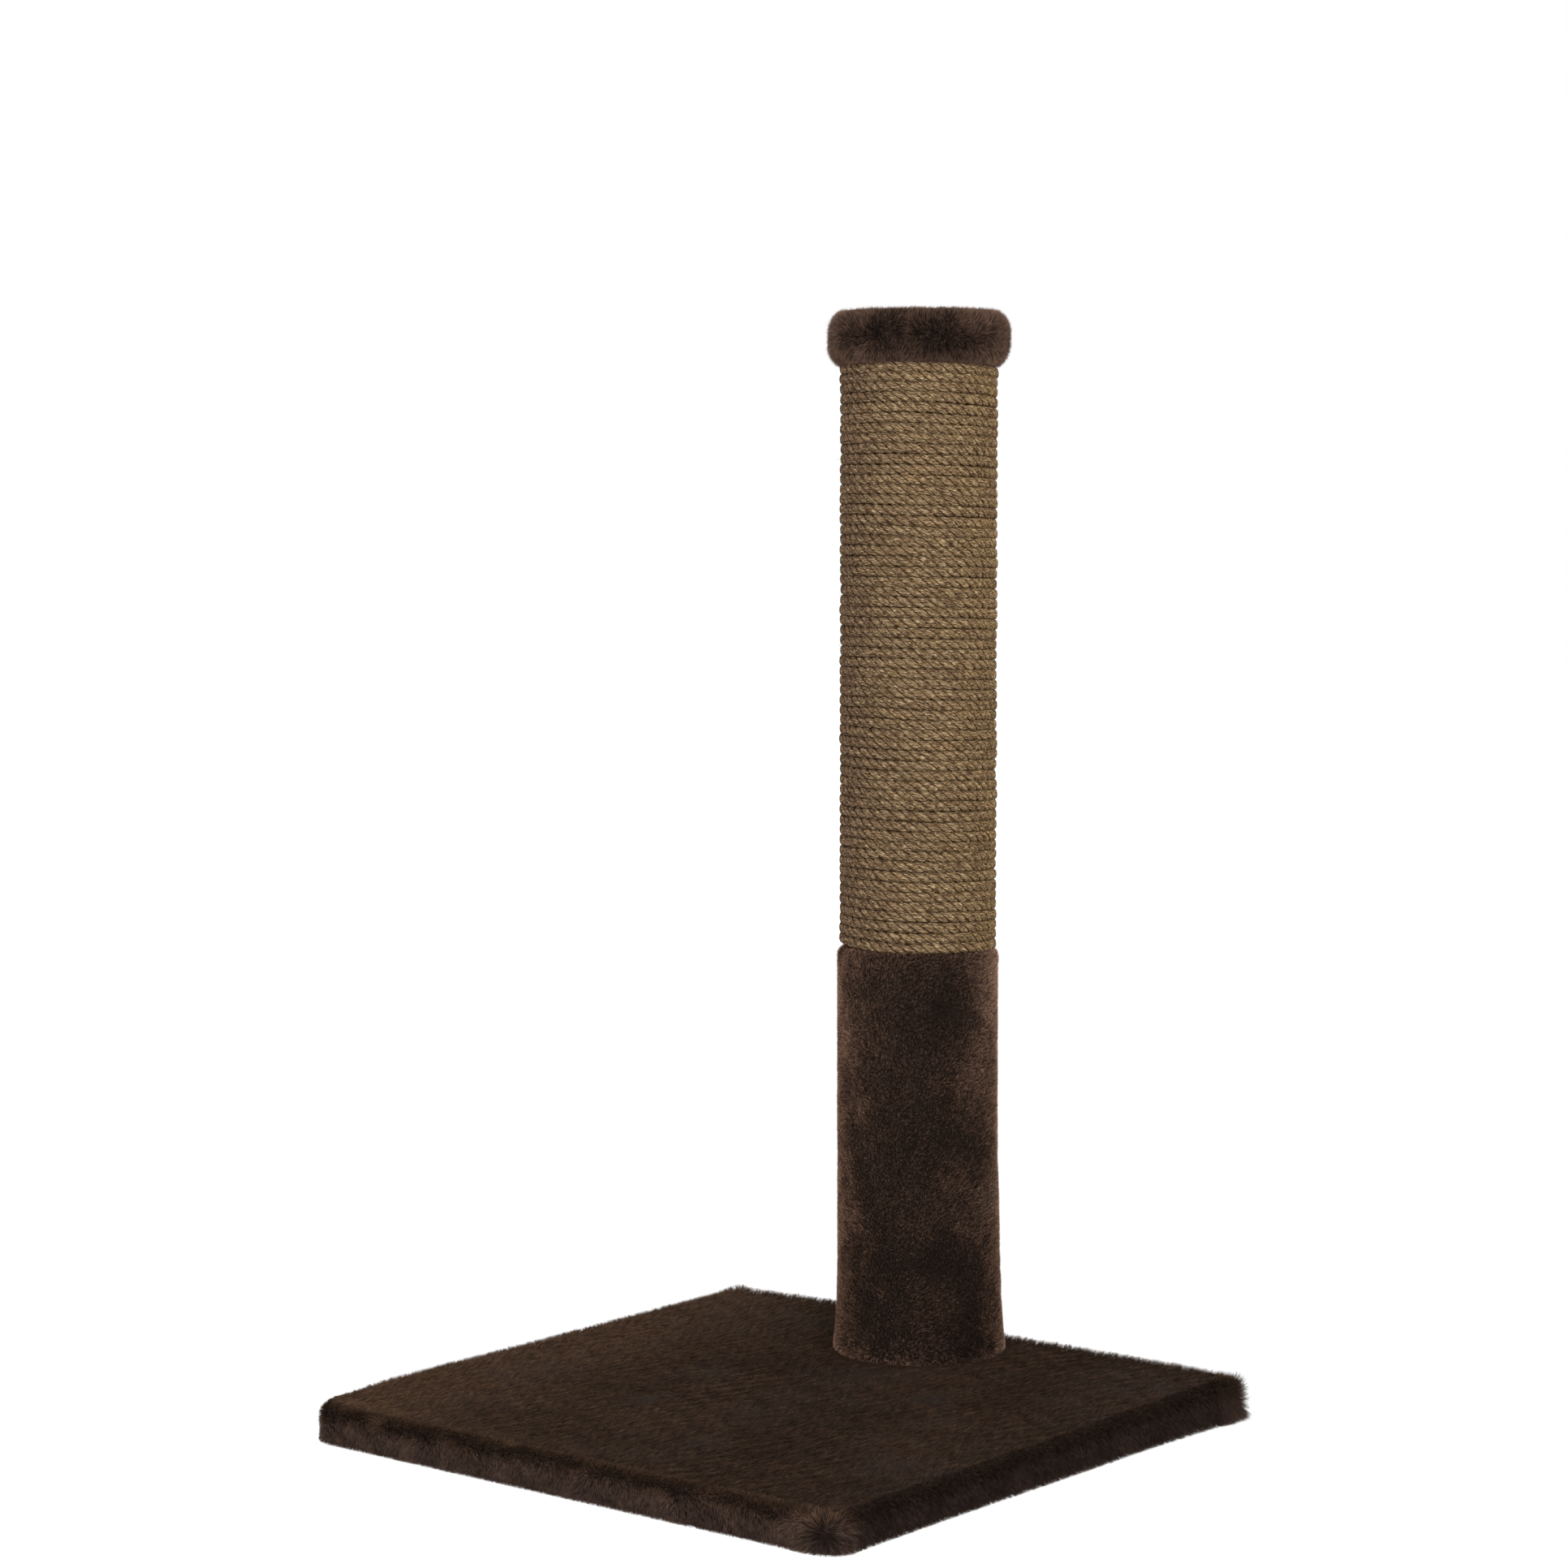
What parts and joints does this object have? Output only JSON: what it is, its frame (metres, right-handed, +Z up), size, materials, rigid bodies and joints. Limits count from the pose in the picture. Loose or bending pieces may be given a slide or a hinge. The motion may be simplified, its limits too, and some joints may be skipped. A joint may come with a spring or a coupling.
{
  "type": "cat scratching post",
  "caption": "Free-standing round scratching post: sisal rope wound on a tube over a plush sleeve, with a plush cap, on a square plush-covered base.",
  "frame": {"origin": "centre of the base's underside, on the surface that it stands on", "axes": "+Z up along the post, +Y from the base's centre towards the side where the post stands, +X to the right when one looks along +Y"},
  "size_m": [0.6206, 0.6206, 1.045],
  "materials": {
    "plush": "dark brown long-pile plush",
    "sisal": "natural twisted sisal rope",
    "particle_board": "bare particle board",
    "cardboard": "spiral-wound paper tube",
    "zinc_steel": "zinc-plated steel"
  },
  "bodies": {
    "root": {"base_board": "particle_board", "base_plush_cover": "plush", "post_bolt": "zinc_steel", "bolt_washer": "zinc_steel", "tee_nut": "zinc_steel", "lower_plug": "particle_board", "upper_plug": "particle_board", "post_tube": "cardboard", "post_plush_sleeve": "plush", "sisal_rope": "sisal", "cap_board": "particle_board", "cap_plush_cover": "plush", "lower_plug_screw_1": "zinc_steel", "upper_plug_screw_1": "zinc_steel", "lower_plug_screw_2": "zinc_steel", "upper_plug_screw_2": "zinc_steel", "lower_plug_screw_3": "zinc_steel", "upper_plug_screw_3": "zinc_steel", "lower_plug_screw_4": "zinc_steel", "upper_plug_screw_4": "zinc_steel", "cap_screw_1": "zinc_steel", "cap_screw_2": "zinc_steel", "cap_screw_3": "zinc_steel", "rope_nail_lower": "zinc_steel", "rope_nail_upper": "zinc_steel"}
  },
  "joints": []
}
